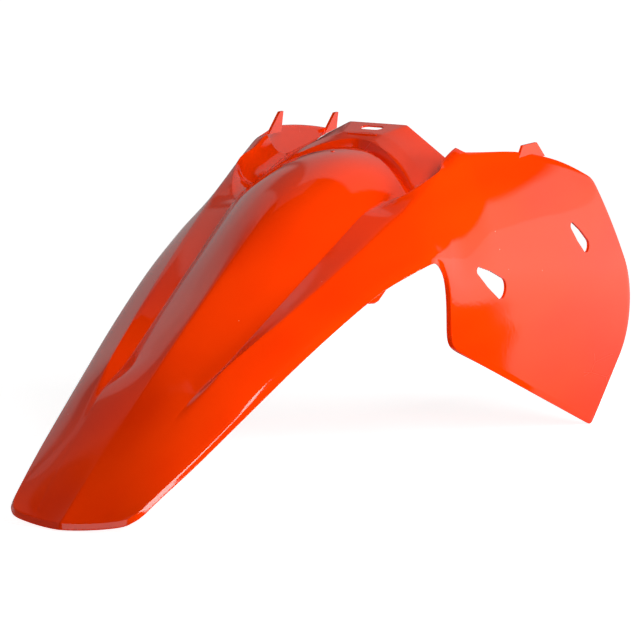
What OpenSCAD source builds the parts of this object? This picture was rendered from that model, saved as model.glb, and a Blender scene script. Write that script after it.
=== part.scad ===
// Rear fender of an off-road motorcycle: a blade that widens from the tail to a domed
// seat end, a raised shoulder down each side, a slotted seat flange ahead of a groove,
// and the right side panel, all moulded in one piece with an even wall.
// +Y runs to the front of the motorcycle, +X to its right and +Z up. The origin is the
// centre of the mounting slot on the flange's upper face.

/* [Shell] */
// Thickness of the moulded wall
wall = 3; // [2.4:0.1:3.6]
// Depth of the turned-down lip along the lower edges of the blade
lip = 5.8; // [4:0.1:9]
// Outward flare of that lip, in degrees
lip_flare = 31; // [10:1:40]
// Depth of the turned-down lip across the tail
tail_lip = 6.5; // [4:0.5:9]
// Width of the rim turned in around the wheel arch
arch_rim = 7.5; // [5:0.5:10]

/* [Blade] */
// Distance from the tail tip to where the blade starts to level out into the dome
waist_y = 400; // [380:1:420]
// Slope of the centre line at the tail, in degrees
tail_slope = 35; // [32:0.5:38]
// Slope of the centre line at the waist, in degrees
waist_slope = 29.7; // [27:0.1:32]
// Half width of the blade at the tail
tail_half = 69; // [60:1:76]
// How much the blade widens on each side, as a share of its length
edge_flare = 0.158; // [0.14:0.002:0.18]
// Slope of the lower edges, in degrees
edge_slope = 26.8; // [25:0.1:28]
// How far the corners of the tail sit ahead of its tip
tail_rake = 19; // [8:1:28]
// Radius of the corners of the tail in plan
tail_round = 12; // [4:1:18]
// Sag of the tail's edge between its tip and its corners
tail_sag = 4; // [2:0.5:6]
// Distance from the tail tip to where the right edge starts to swell out to the panel
swell_y = 390; // [380:1:400]

/* [Dome] */
// Distance from the tail tip to the front edge of the dome on the centre plane
dome_y = 577; // [570:1:584]
// Slope of the centre line at that edge, in degrees
dome_slope = -4; // [-8:0.5:4]
// Half width of the dome at the foot of its front edge
dome_half = 88; // [84:1:92]
// How far the front edge runs back from the centre to its foot
dome_bulge = 46; // [36:1:52]
// How far the front edge falls from the centre to its foot
dome_drop = 38; // [32:1:44]
// Width of the groove between the dome and the flange
groove_gap = 13; // [9:1:16]
// Depth of the groove below the edge of the dome
groove_depth = 8; // [5:1:12]
// Height of the flange's rear rim above the edge of the dome
rim_step = 7; // [4:1:11]

/* [Shoulders] */
// Distance from the tail tip to the front end of the ridges
shoulder_y = 591; // [585:1:600]
// Half width over the ridges at their front end
shoulder_half = 120; // [114:1:126]
// Height of the ridges at their front end above the tail tip
shoulder_z = 306; // [300:1:312]
// Slope of the ridges, in degrees
ridge_slope = 23.9; // [22:0.1:26]
// Distance from the tail tip to where the ridges fade into the blade
ridge_start = 160; // [140:1:180]
// Half width over the two valleys, extended back to the tail
valley_half = 34; // [31:1:37]
// Width of the bevel along the top of each shoulder
bevel_w = 11; // [7:1:14]
// Rise of that bevel from the ridge to its inner edge
bevel_rise = 4; // [2:0.5:8]
// Half width over the ridges where they fade into the blade
ridge_root = 56; // [50:1:62]

/* [Flange] */
// Distance from the tail tip to the front edge of the flange
flange_y = 632; // [626:1:638]
// Half width of the level middle of the flange
flange_flat = 33; // [26:1:38]
// Height of the flange's front edge above the tail tip
flange_z = 323.6; // [320:0.2:327]
// Half width of the flange's front edge over all
flange_half = 97; // [93:1:101]
// Width of the mounting slot across the fender
slot_w = 25; // [18:0.5:30]
// Length of the mounting slot along the fender
slot_len = 12; // [8:0.5:16]
// Distance from the flange's front edge back to the slot's centre
slot_back = 14; // [12:0.5:18]
// Length of the stop rib behind the slot
rib_w = 33; // [20:1:40]
// Height of the stop rib
rib_h = 1.8; // [1:0.1:3]
// Height of the raised band along the flange's rear rim
band_h = 3; // [1:0.1:4]

/* [Side panel] */
// Half width of the fender over the side panel
panel_half = 152; // [148:1:156]
// Distance from the tail tip to the top of the wheel arch
arch_y = 463; // [455:1:470]
// Distance from the tail tip to the panel's rear edge
panel_rear = 507; // [500:1:514]
// Height of the panel's rear lower corner above the tail tip
panel_rear_z = 120; // [105:1:130]
// Distance from the tail tip to the panel's lowest corner
panel_toe = 814; // [795:1:830]
// Distance from the tail tip to where the panel's front edges would meet
panel_nose = 929; // [915:1:940]
// Height above the tail tip at which the panel's front edges would meet
panel_nose_z = 108; // [100:1:120]
// Radius of the panel's nose
nose_round = 75; // [55:1:90]
// Radius of the panel's rear lower corner
rear_round = 19; // [10:1:22]
// Radius of the panel's toe
toe_round = 9; // [6:1:14]
// Radius of the panel's upper front corner
brow_round = 30; // [20:1:50]

/* [Vents] */
// Length of the rear vent between the centres of its ends
vent_rear_len = 53; // [44:1:60]
// Radius of the rear vent's round end
vent_rear_r = 11; // [8:0.5:12]
// Length of the front vent between the centres of its ends
vent_front_len = 37; // [30:1:44]
// Radius of the front vent's round end
vent_front_r = 7.3; // [5.5:0.1:9]
// Radius of the narrow end of both vents
vent_tip_r = 4; // [2.5:0.5:5]
// How far the sides of the vents bulge beyond straight tangents
vent_belly = 1.2; // [0.5:0.1:2]

/* [Tabs] */
// Height of the two hooked tabs on the left rail
hook_h = 15; // [10:1:20]
// Length of each hooked tab at its root
hook_root = 26; // [20:1:32]
// Length of each hooked tab at its tip
hook_tip = 7; // [5:1:12]
// Height of the tab on the right panel
tab_h = 10; // [7:1:15]
// Length of the right tab at its root
tab_root = 60; // [46:1:66]
// Length of the right tab at its top
tab_top = 30; // [20:1:36]
// Length of the left rail ahead of the ridges
rail_len = 190; // [170:1:210]
// Height of the left rail above the front end of the ridges
rail_rise = 9; // [6:1:12]
// Drop of the lug below the lip on each side of the blade
lug_drop = 5; // [3:0.5:8]

/* [Hidden] */
plastic = [1, 0.3, 0.02];

// Roundness of the plain blade, its flanks and the skin under the right shoulder
crown = 2.2;
flank_curve = 1.25;
panel_curve = 2.4;
// Height over which that skin turns down to the panel
panel_turn = 115;
// Curve of the ridges in plan
spear = 1.35;

tip_z = tail_lip + 1;
dome_foot_y = dome_y - dome_bulge;
shoulder_end = shoulder_y + 3;
slot_y = flange_y - slot_back;
// How far the panel's nose curls inwards, and where that starts
bow = 3;
bow_y = panel_toe - 54;
// Valleys: their flare in plan, and their line extended back to the tail
valley_flare = 0.0893;
valley_rise = 17.7;
valley_slope = 27.25;

// Stations along the blade, then along the dome and ahead of it
blade_y = concat([0, 3, 8, 17, 32], [for (k = [1:17]) lerp(32, arch_y, k / 17)]);
dome_rows = 6;
groove_rows = 2;
flange_rows = 6;
panel_rows = 13;
front_rows = groove_rows + 1 + flange_rows;
nb = len(blade_y);
side_stations = concat([for (k = [1:dome_rows]) lerp(arch_y, dome_foot_y, k / dome_rows)],
    [for (k = [1:front_rows]) lerp(dome_foot_y, shoulder_end, k / front_rows)]);
ns = len(side_stations);

// Columns on each side, counted from the centre plane outwards
c_foot = 10;      // foot of the dome, at the valley
c_wall = 11;      // middle of the slope between the foot and the shoulder
c_ridge = 13;     // ridge
c_fold = 21;      // lower edge, where the lip starts
c_lip = 22;       // free edge of the lip

function lerp(a, b, t) = a + (b - a) * t;
function unit01(t) = min(1, max(0, t));
function ease(t) = let (c = unit01(t)) c * c * (3 - 2 * c);
function unit(v) = v / max(norm(v), 1e-9);
function back(list) = list[len(list) - 1];

// Height of the centre line: its slope changes evenly along each of two stretches
function crest_z(y) = y <= waist_y
    ? tip_z + y * tan(tail_slope) + (tan(waist_slope) - tan(tail_slope)) * y * y / (2 * waist_y)
    : let (d = y - waist_y)
      crest_z(waist_y) + d * tan(waist_slope)
      + (tan(dome_slope) - tan(waist_slope)) * d * d / (2 * (dome_y - waist_y));

// Lower edge of the blade
function edge_x(y) = tail_half + edge_flare * y;
edge_z0 = 3;        // height of the edge lines, extended back to the tail tip
edge_lift = 1.8;    // how much higher they run ahead of the tail's corners
edge_level = 230;   // distance from which they level out
edge_fall = 0.00034; // how fast they level out
arch_dip = 3;       // how much they dip again towards the wheel arch
function edge_z(y) = edge_z0 + edge_lift * ease(y / 60) + y * tan(edge_slope)
    - edge_fall * pow(max(0, y - edge_level), 2)
    - arch_dip * ease((y - swell_y) / (arch_y - swell_y));
// How far the right edge swells out to meet the side panel
function swell(y) = (panel_half - edge_x(arch_y)) * ease((y - swell_y) / (arch_y - swell_y));

// Ridge of the shoulder
function spear_x(y) = shoulder_half
    - (shoulder_half - ridge_root) * pow(max(0, (shoulder_y - y) / (shoulder_y - ridge_start)), spear);
function ridge_x(y) = y < ridge_start
    ? lerp(0.6 * tail_half, spear_x(ridge_start), y / ridge_start)
    : spear_x(min(y, shoulder_y));
function ridge_line(y) = shoulder_z - (shoulder_y - min(y, shoulder_y)) * tan(ridge_slope);

// Valley between the dome and the shoulder
function past_arch(y) = unit01((y - arch_y) / (dome_foot_y - arch_y));
foot_z = crest_z(dome_y) - dome_drop;
function valley_x(y) = lerp(valley_half + valley_flare * min(y, arch_y), dome_half, past_arch(y));
function valley_line(y) = lerp(valley_rise + min(y, arch_y) * tan(valley_slope), foot_z, past_arch(y));

// Plain crowned section, which the ridges and valleys grow out of
function plain_z(x, y) = let (e = edge_z(y)) e + (crest_z(y) - e) * (1 - pow(min(1, x / edge_x(y)), crown));
function grown(y) = ease((y - ridge_start + 35) / 90);
function ridge_z(y) = lerp(plain_z(ridge_x(y), y), ridge_line(y), grown(y));
function valley_z(y) = lerp(plain_z(valley_x(y), y), valley_line(y), grown(y));

// Front edge of the dome, s of the way from the centre to its foot
function dome_edge(s) = [
    s * dome_half,
    dome_y - dome_bulge * pow(s, 1.25),
    crest_z(dome_y) - dome_drop * pow(s, 2.1)];
function rim_edge(s) = dome_edge(s) + [0, groove_gap, rim_step * (1 - 0.4 * s)];

// Front edge of the flange: a level middle, then a straight fall on each side
flat_share = 0.2;   // share of the half section that the level middle takes
band_share = 1 / 3; // share of the flange's length that the raised band takes
function flange_edge(s) = s < flat_share
    ? [flange_flat * s / flat_share, flange_y, flange_z]
    : let (d = (flange_half - flange_flat) * (s - flat_share) / (1 - flat_share))
      [flange_flat + d, flange_y - 0.27 * d, flange_z - 0.55 * d];
function flange_at(s, t) = let (band = t < band_share ? t / band_share : (1 - t) / (1 - band_share))
    lerp(rim_edge(s), flange_edge(s), t) + [0, 0, band_h * band * (0.4 + s) * (1 - s * s)];

// How far a point at the tail sits ahead of the tip
function rake(x, y) = tail_rake * (x / edge_x(y)) * (1 - ease(y / 120));

// How far the plain section sags at the tail, so that its edge runs straight to the corners
function sag(x, y) = let (w = unit01(x / edge_x(y))) 4 * tail_sag * w * (1 - w) * (1 - ease(y / 80));
// Blade and dome: share s of the half section out to the valley, at distance y
function blade_at(s, y) = let (
        x = s * valley_x(y),
        yy = y + rake(x, y),
        v = valley_z(yy),
        round = lerp(1.1, 2.1, ease((y - 280) / 200)))
    [x, yy, lerp(plain_z(x, yy), v + (crest_z(yy) - v) * (1 - pow(s, round)), grown(yy)) - sag(x, y)];
// Between the arch and the front edge, the rows bend forwards into the edge's curve
function dome_at(s, t) = let (
        e = dome_edge(s),
        y = lerp(arch_y, e[1], t),
        x = lerp(s * valley_x(arch_y), e[0], t),
        v = lerp(valley_z(arch_y), foot_z, t),
        z = v + (crest_z(y) - v) * (1 - pow(s, 2.1)))
    [x, y, lerp(z, e[2], t * t)];

// Central columns: row i, column c
function middle(i, c) = let (s = c / c_foot, k = i - nb)
    k < 0 ? blade_at(s, blade_y[i])
    : k < dome_rows ? dome_at(s, (k + 1) / dome_rows)
    : k < dome_rows + groove_rows
        ? dome_edge(s) + [0, k == dome_rows ? 1 : groove_gap - 1, -groove_depth * (1 - 0.6 * s)]
        : flange_at(s, (k - dome_rows - groove_rows) / flange_rows);

// Distance along the fender of the side columns in row i
function side_y(i) = i < nb ? blade_y[i] : side_stations[i - nb];

// Inner edge of the shoulder's bevel
shelf_y = arch_y + 9;
function inner_x(y) = let (
        t = unit01((y - shelf_y) / 84),
        w = lerp(ridge_x(y) - valley_x(y) - 2, 1.5, 1 - pow(1 - t, 1.5)))
    ridge_x(y) - max(w, bevel_w * ease((y - shelf_y - 72) / 28));
function inner_z(y) = let (
        share = (ridge_x(y) - inner_x(y)) / (ridge_x(y) - valley_x(y)),
        ledge = lerp(ridge_z(y), valley_z(y), unit01(share)))
    lerp(ledge, ridge_z(y) + bevel_rise, ease((y - shelf_y) / 34));
function shelf_at(i) = let (y = side_y(i), x = inner_x(y), yy = y + rake(x, y)) [x, yy, inner_z(yy) - sag(x, y)];
// Slope between the foot of the dome or the flange and the shelf
function slope_at(i) = let (a = middle(i, c_foot), b = shelf_at(i), deep = ease((side_y(i) - shelf_y) / 20))
    [lerp(a[0], b[0], lerp(0.5, 0.72, deep)), lerp(a[1], b[1], 0.5), lerp(a[2], b[2], lerp(0.5, 0.15, deep))];

// Top line of each side, ahead of the shoulders
function top_x(y, right) = y < shoulder_y ? ridge_x(y)
    : shoulder_half + (right ? 0.09 * (y - shoulder_y) : 0);
function top_z(y, right) = let (d = y - shoulder_y)
    d < 0 ? ridge_z(y)
    : right ? shoulder_z - 1.5 * ease(d / 10) - 0.075 * d - 0.0314 * pow(max(0, d - 90), 1.34)
    : shoulder_z + rail_rise * ease(d / 45) - 0.0007 * d * d;

// Half width of the outer skin at distance y and height z
function skin_x(y, z, right) = let (
        yy = min(y, panel_toe + 20),
        turn = lerp(ridge_z(arch_y) - edge_z(arch_y), panel_turn, ease((y - arch_y) / 90)),
        curve = lerp(flank_curve, panel_curve, ease((y - arch_y) / 60)),
        t = unit01((top_z(yy, right) - z) / turn),
        full = right ? panel_half : lerp(edge_x(arch_y), panel_half - 4, ease((y - arch_y) / 100)))
    lerp(top_x(yy, right), full, 1 - pow(1 - t, curve))
        - (right ? bow * pow(unit01((y - bow_y) / 150), 2) : 0);

// Points of a fillet of radius r at corner c between points a and b
function fillet_centre(a, c, b, r) = let (u = unit(a - c), v = unit(b - c))
    c + unit(u + v) * r / sin(acos(u * v) / 2);
function fillet(a, c, b, r, n) = let (
        u = unit(a - c), v = unit(b - c),
        o = fillet_centre(a, c, b, r),
        reach = r / tan(acos(u * v) / 2))
    [for (k = [0:n - 1]) o + unit(lerp(c + u * reach - o, c + v * reach - o, k / (n - 1))) * r];
function along(a, b, n) = [for (k = [1:n]) lerp(a, b, k / n)];

// Lower outline of the right panel, from the wheel arch round to its nose
arch_z = edge_z(arch_y);
rear_corner = [panel_rear, panel_rear_z];
toe = [panel_toe, -2];
nose = [panel_nose, panel_nose_z];
top_corner = [831, 253.5];
arch_rows = 7;
arch_foot_z = panel_rear_z + 24;
notch_points = [for (k = [1:arch_rows]) let (a = 90 * k / arch_rows)
    [lerp(arch_y, panel_rear, pow(sin(a), 0.8)), lerp(arch_foot_z, arch_z, pow(max(0, cos(a)), 0.8))]];
rear_fillet = fillet(back(notch_points), rear_corner, toe, rear_round, 3);
toe_fillet = fillet(rear_corner, toe, nose, toe_round, 4);
nose_fillet = fillet(toe, nose, top_corner, nose_round, 7);
bottom_rows = ns + panel_rows - arch_rows - len(rear_fillet) - 3 - 5;
lower_path = concat(notch_points, rear_fillet, along(back(rear_fillet), toe_fillet[0], bottom_rows),
    [for (k = [1:3]) toe_fillet[k]], along(toe_fillet[3], nose_fillet[0], 5));

// Upper outline, from the shoulder over the top corner to the nose
top_end_y = top_corner[0] - 50;
top_end = [top_end_y, top_z(top_end_y, true)];
corner_fillet = fillet(top_end, top_corner, nose_fillet[6], brow_round, 4);
upper_path = concat([for (k = [1:4]) let (y = lerp(shoulder_end, corner_fillet[0][0], k / 5)) [y, top_z(y, true)]],
    corner_fillet, along(corner_fillet[3], nose_fillet[6], 5));
nose_centre = fillet_centre(toe, nose, top_corner, nose_round);

// Outer skin below the ridge, in the blade's rows
function flank_at(i, w, right) = let (
        y = blade_y[i],
        e = edge_x(y) + (right ? swell(y) : 0),
        cut = tail_round * max(0, 1 - y / tail_round),
        x0 = lerp(ridge_x(y), e, 1 - pow(1 - w, flank_curve)),
        x = x0 - 0.3 * cut * pow(w, 3),
        yy = y + rake(x, y) + 0.3 * cut * pow(w, 3))
    [x, yy, lerp(plain_z(min(x, edge_x(yy)), yy), lerp(ridge_z(yy), edge_z(yy), w), grown(yy)) - sag(x, y)];
// Outer skin below the top line, in the rows ahead of the wheel arch
function rail_low(y) = arch_z + 0.07 * (y - arch_y);
function panel_at(k, w, right) = let (
        far = k - ns,
        rail_y = shoulder_end + (shoulder_y + rail_len - shoulder_end) * (far + 1) / panel_rows,
        low_y = lerp(arch_y, shoulder_y + rail_len, (k + 1) / (ns + panel_rows)),
        top = k < ns ? [side_stations[k], top_z(side_stations[k], right)]
            : right ? upper_path[far] : [rail_y, top_z(rail_y, false)],
        low = right ? lower_path[k] : [low_y, rail_low(low_y)],
        p = right && k == ns + panel_rows - 1
            ? nose_centre + unit(lerp(nose_fillet[6] - nose_centre, nose_fillet[0] - nose_centre, w)) * nose_round
            : lerp(top, low, w))
    [skin_x(p[0], p[1], right), p[0], p[1]];
function side(i, c, right) = let (w = (c - c_ridge) / (c_fold - c_ridge))
    i < nb ? flank_at(i, w, right) : panel_at(i - nb, pow(w, 1.1), right);

// Skin without its lips
rows = nb + ns + panel_rows;
i_front = nb + ns - 1;
function skin(i, j) = let (c = abs(j),
        p = c >= c_ridge ? side(i, c, j > 0)
          : i > i_front ? [0, 0, 0]
          : c <= c_foot ? middle(i, c)
          : c == c_wall ? slope_at(i) : shelf_at(i))
    [sign(j) * p[0], p[1], p[2]];

// Direction and depth of the lip in row i
function lip_at(i, right) = let (
        k = i - nb,
        t = right ? ease((k + 3) / 5) : 0,
        turn = 90 * unit01((k + 1) / arch_rows),
        fade = right ? ease((k - arch_rows - 1) / 3) : ease((k + 1) / 8),
        down = lip * [sin(lip_flare), 0, -cos(lip_flare)],
        turned = arch_rim * [-0.75 * sin(turn), 0, -cos(turn)])
    lerp(lerp(down, turned, t), right ? [-1.5, 0, 0] : [-1, 0, -1.5], fade);
tail_drop = tail_lip * [0, -sin(10), -cos(10)];

// Outer grid: a row for the tail lip, then the rows of the skin with a column for each lip
skin_grid = [for (i = [0:rows - 1]) [for (j = [-c_fold:c_fold]) skin(i, j)]];
function outside(i, j) = let (e = max(-c_fold, min(c_fold, j)), p = skin_grid[i][e + c_fold], l = lip_at(i, j > 0))
    abs(j) <= c_fold ? p
    : i == 0 ? p + (tail_drop + [sign(j) * lip * sin(lip_flare), 0, -lip * cos(lip_flare)]) / 2
    : p + [sign(j) * l[0], l[1], l[2]];
outer = concat([[for (j = [-c_lip:c_lip]) outside(0, j) + (abs(j) <= c_fold ? tail_drop : [0, 0, 0])]],
    [for (i = [0:rows - 1]) [for (j = [-c_lip:c_lip]) outside(i, j)]]);
n_rows = rows + 1;
n_cols = 2 * c_lip + 1;

// The corner cells of the tail lip shrink to a point, which both lips share
function corner(i, j) = i == 0 && (j == c_fold || j == -c_lip);
function live(i, j) = i >= 0 && i < n_rows && abs(j) <= c_lip && (i <= i_front + 1 || abs(j) >= c_ridge);
function kept(i, j) = !corner(i, j) && live(i, j) && live(i + 1, j) && live(i, j + 1) && live(i + 1, j + 1);
function at(i, j) = i == 0 && abs(j) >= c_fold ? outer[1][sign(j) * c_lip + c_lip] : outer[i][j + c_lip];

// Inner skin: each point moves in along the bisector of the faces beside it
function step(p, q) = unit(q - p);
function mitre(i, j) = let (
        p = at(i, j),
        e = live(i, j + 1) ? step(p, at(i, j + 1)) : [0, 0, 0],
        w = live(i, j - 1) ? step(at(i, j - 1), p) : [0, 0, 0],
        n = live(i + 1, j) ? step(p, at(i + 1, j)) : [0, 0, 0],
        s = live(i - 1, j) ? step(at(i - 1, j), p) : [0, 0, 0],
        a = e + w, b = n + s,
        bend = (norm(e) * norm(w) > 0.5 ? norm(a) / 2 : 1) * (norm(n) * norm(s) > 0.5 ? norm(b) / 2 : 1))
    unit(cross(a, b)) / max(0.62, bend);
inner = [for (i = [0:n_rows - 1]) [for (j = [-c_lip:c_lip])
    live(i, j) ? at(i, j) - wall * mitre(i, j) : [0, 0, 0]]];

function id(i, j, side) = let (tip = i == 0 && abs(j) >= c_fold)
    (side * n_rows + (tip ? 1 : i)) * n_cols + (tip ? sign(j) * c_lip : j) + c_lip;
// Two triangles of a quad, split the same way on both halves of the fender
function split(a, b, c, d, flip) = flip ? [[a, b, d], [b, c, d]] : [[a, b, c], [a, c, d]];
function cell(i, j) = concat(
    split(id(i, j, 0), id(i + 1, j, 0), id(i + 1, j + 1, 0), id(i, j + 1, 0), j < 0),
    split(id(i, j + 1, 1), id(i + 1, j + 1, 1), id(i + 1, j, 1), id(i, j, 1), j >= 0));
function rim(i0, j0, i1, j1) = split(id(i1, j1, 0), id(i0, j0, 0), id(i0, j0, 1), id(i1, j1, 1), false);
function open_at(i, j) = !kept(i, j) && !corner(i, j);
function rims(i, j) = concat(
    open_at(i, j - 1) ? rim(i, j, i + 1, j) : [],
    open_at(i + 1, j) ? rim(i + 1, j, i + 1, j + 1) : [],
    open_at(i, j + 1) ? rim(i + 1, j + 1, i, j + 1) : [],
    open_at(i - 1, j) ? rim(i, j + 1, i, j) : []);

module shell() {
    points = [for (side = [outer, inner]) for (row = side) for (p = row) p];
    faces = [for (i = [0:n_rows - 2]) for (j = [-c_lip:c_lip - 1]) if (kept(i, j))
        each concat(cell(i, j), rims(i, j))];
    polyhedron(points, faces, convexity = 12);
}

// Centres of the round ends of the vents, and the places of the tabs along the fender
vent_rear_at = [613.5, 166.5];
vent_front_at = [802.5, 187];
hook_y = [625, 741];
tab_y = 717;

// Vent through the side panel: round at its lower front end, narrow at its upper rear end
module vent(place, length, angle, r) {
    tip = length * [-cos(angle), sin(angle)];
    translate([panel_half - 30, place[0], place[1]]) rotate([90, 0, 90]) linear_extrude(60) hull() {
        circle(r, $fn = 32);
        translate(tip / 2) circle((r + vent_tip_r) / 2 + vent_belly, $fn = 32);
        translate(tip) circle(vent_tip_r, $fn = 24);
    }
}

module slot() {
    translate([0, slot_y, flange_z - 30]) linear_extrude(60) {
        square([slot_w - slot_len, slot_len], center = true);
        for (side = [-1, 1]) translate([side * (slot_w - slot_len) / 2, 0]) circle(slot_len / 2, $fn = 48);
    }
}

// Low rib across the flange, behind the slot
rib_y = slot_y - slot_len / 2 - 15.5;
module stop_rib() {
    t = (rib_y - rim_edge(0)[1]) / (flange_y - rim_edge(0)[1]);
    translate([-rib_w / 2, rib_y, flange_at(0, t)[2] - 2]) cube([rib_w, 3, 2 + rib_h]);
}

// Flat tab in the plane of the side: root, tip and lean in one outline
module tab(x, y, z, root, tip, height, lean) {
    translate([x - wall / 2, y, z]) rotate([90, 0, 90]) linear_extrude(wall)
        polygon([[-root / 2, -6], [root / 2, -6], [lean + tip / 2, height], [lean - tip / 2, height]]);
}

// Lug that hangs from the lip, in the plane that the lip and the edge span
lug_y = 388;
module lug(side) {
    deep = lip + lug_drop;
    foot = [edge_x(lug_y), lug_y, edge_z(lug_y)];
    ahead = [edge_x(lug_y + 1), lug_y + 1, edge_z(lug_y + 1)] - foot;
    up = [-sin(lip_flare), 0, cos(lip_flare)];
    out = unit(cross(ahead, up));
    p = foot - (wall - 0.3) * out;
    mirror([1 - side, 0, 0]) multmatrix([for (k = [0:2]) [ahead[k], up[k], out[k], p[k]]])
        linear_extrude(wall - 0.6)
            polygon([[-14, -2], [-13, -lip - 1], [-6, 0.4 - deep], [-2, -deep], [15, -lip - 0.8], [20, -2]]);
}

module rear_fender() {
    color(plastic) translate([0, -slot_y, -slot_z]) {
        difference() {
            shell();
            slot();
            vent(vent_rear_at, vent_rear_len, 27, vent_rear_r);
            vent(vent_front_at, vent_front_len, 40, vent_front_r);
        }
        stop_rib();
        for (y = hook_y) tab(wall / 2 - shoulder_half, y, top_z(y, false), hook_root, hook_tip, hook_h, 14);
        tab(top_x(tab_y, true) - wall / 2, tab_y, top_z(tab_y, true), tab_root, tab_top, tab_h, -3);
        for (side = [-1, 1]) lug(side);
    }
}
slot_z = flange_at(0, (slot_y - rim_edge(0)[1]) / (flange_y - rim_edge(0)[1]))[2];

rear_fender();
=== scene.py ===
# %% [markdown]
# # A moulded rear fender in Blender
# The real fender is one injection moulding in gloss orange plastic: a blade, a domed
# seat end, two raised shoulders, a slotted flange and a side panel, all in one 3 mm
# wall. This lesson bends one grid into its skin, thickens it, cuts its openings, and
# then spends its effort on the plastic and on the lights that it mirrors.

# %% Load the packed model and keep its box
import math

import bpy
import numpy as np
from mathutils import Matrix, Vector


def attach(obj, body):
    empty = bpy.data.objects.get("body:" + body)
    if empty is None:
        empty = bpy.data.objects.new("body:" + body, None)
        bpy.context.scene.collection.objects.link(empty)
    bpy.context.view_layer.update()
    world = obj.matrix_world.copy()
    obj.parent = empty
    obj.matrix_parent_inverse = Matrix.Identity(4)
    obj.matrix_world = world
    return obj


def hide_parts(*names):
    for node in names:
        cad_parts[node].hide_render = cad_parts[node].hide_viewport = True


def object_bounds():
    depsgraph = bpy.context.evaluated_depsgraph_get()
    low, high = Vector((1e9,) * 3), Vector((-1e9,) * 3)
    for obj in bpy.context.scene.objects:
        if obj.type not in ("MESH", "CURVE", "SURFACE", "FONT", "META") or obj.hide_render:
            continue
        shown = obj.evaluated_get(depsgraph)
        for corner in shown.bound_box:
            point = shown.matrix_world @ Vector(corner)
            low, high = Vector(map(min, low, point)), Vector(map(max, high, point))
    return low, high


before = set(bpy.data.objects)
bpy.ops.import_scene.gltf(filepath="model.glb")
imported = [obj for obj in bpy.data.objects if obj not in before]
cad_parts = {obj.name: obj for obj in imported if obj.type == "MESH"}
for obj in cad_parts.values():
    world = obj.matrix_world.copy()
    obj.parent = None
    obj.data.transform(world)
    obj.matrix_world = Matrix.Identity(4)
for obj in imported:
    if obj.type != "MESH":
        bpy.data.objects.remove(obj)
cad_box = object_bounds()
MM = 0.001
print("CAD box in mm:", [[round(v / MM, 1) for v in corner] for corner in cad_box])

# %% [markdown]
# ## The camera
# A product photograph like this one is taken from far away with a long lens, so the
# fender shows almost no perspective. The camera stands eight metres off, behind the
# fender's right corner and a little above it. A near camera could frame the fender as
# well, but the panel's nose would swell and the tail shrink.

# %% Camera
CAMERA_AZIMUTH = 29.2
CAMERA_ELEVATION = 8.6
CAMERA_DISTANCE = 8.0
SENSOR = 36.0
# One millimetre at the target covers one pixel of a picture 640 pixels wide
LENS = SENSOR * CAMERA_DISTANCE / 0.640
# The tail tip lies here in the frame, whose origin is the mounting slot
TAIL_TIP = np.array([0.0, -618.0, -320.637])
CAMERA_TARGET = Vector((TAIL_TIP + (34.9, 447.37, 147.65)) * MM)


def towards(azimuth, elevation):
    """Unit vector from the fender to a point at that azimuth and elevation."""
    a, e = math.radians(azimuth), math.radians(elevation)
    return Vector((math.sin(a) * math.cos(e), -math.cos(a) * math.cos(e), math.sin(e)))


def make_camera():
    back = towards(CAMERA_AZIMUTH, CAMERA_ELEVATION)
    bpy.ops.object.camera_add(location=CAMERA_TARGET + back * CAMERA_DISTANCE)
    camera = bpy.context.object
    camera.rotation_mode = "QUATERNION"
    camera.rotation_quaternion = (-back).to_track_quat("-Z", "Y")
    camera.data.lens = LENS
    camera.data.sensor_width = SENSOR
    camera.data.clip_end = 60
    bpy.context.scene.camera = camera
    print("camera at", [round(v, 3) for v in camera.location])


make_camera()

# %% [markdown]
# ## Millimetres from the tail
# The fender is drawn by curves along its length, as a mould maker's drawing is. Each
# cell below sets the sizes of one curve, in millimetres from the tail tip. They are the
# sizes of the solid model, so the skin keeps its form. The curves could be copied from
# the solid's mesh instead, but its facets would show in the gloss.

# %% Helpers for the curves


def tan(degrees):
    return math.tan(math.radians(degrees))


def lerp(a, b, t):
    return a + (b - a) * t


def unit01(t):
    return min(1.0, max(0.0, t))


def ease(t):
    c = unit01(t)
    return c * c * (3 - 2 * c)


def point(*values):
    return np.array(values, float)


def unit(v):
    return v / max(np.linalg.norm(v), 1e-9)


print("ease at a quarter, a half and three quarters:", ease(0.25), ease(0.5), ease(0.75))

# %% [markdown]
# ## The centre line
# Seen from the side, the blade leaves the tail steeply, eases at its waist and levels
# out over the dome. Two stretches whose slope changes evenly give that line with no
# kink, which four numbers hold. A drawn spline would need more points to stay as fair.

# %% Centre line
TAIL_LIP = 6.5
WAIST_Y, TAIL_SLOPE, WAIST_SLOPE = 400.0, 35.0, 29.7
DOME_Y, DOME_SLOPE = 577.0, -4.0
TIP_Z = TAIL_LIP + 1


def crest_z(y):
    """Height of the centre line, whose slope changes evenly along two stretches."""
    if y <= WAIST_Y:
        return TIP_Z + y * tan(TAIL_SLOPE) + (tan(WAIST_SLOPE) - tan(TAIL_SLOPE)) * y * y / (2 * WAIST_Y)
    d = y - WAIST_Y
    fall = (tan(DOME_SLOPE) - tan(WAIST_SLOPE)) * d * d / (2 * (DOME_Y - WAIST_Y))
    return crest_z(WAIST_Y) + d * tan(WAIST_SLOPE) + fall


print("centre line at the waist and the dome:", round(crest_z(WAIST_Y), 1), round(crest_z(DOME_Y), 1))

# %% [markdown]
# ## The lower edges
# The blade's edges flare evenly from the tail and rise a little less steeply towards
# the seat. On the right the edge swells out and dips into the top of the wheel arch,
# where the side panel begins. Each side could have a curve of its own. With one curve
# for both and a swell that eases in, they differ only where the real sides do.

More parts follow.
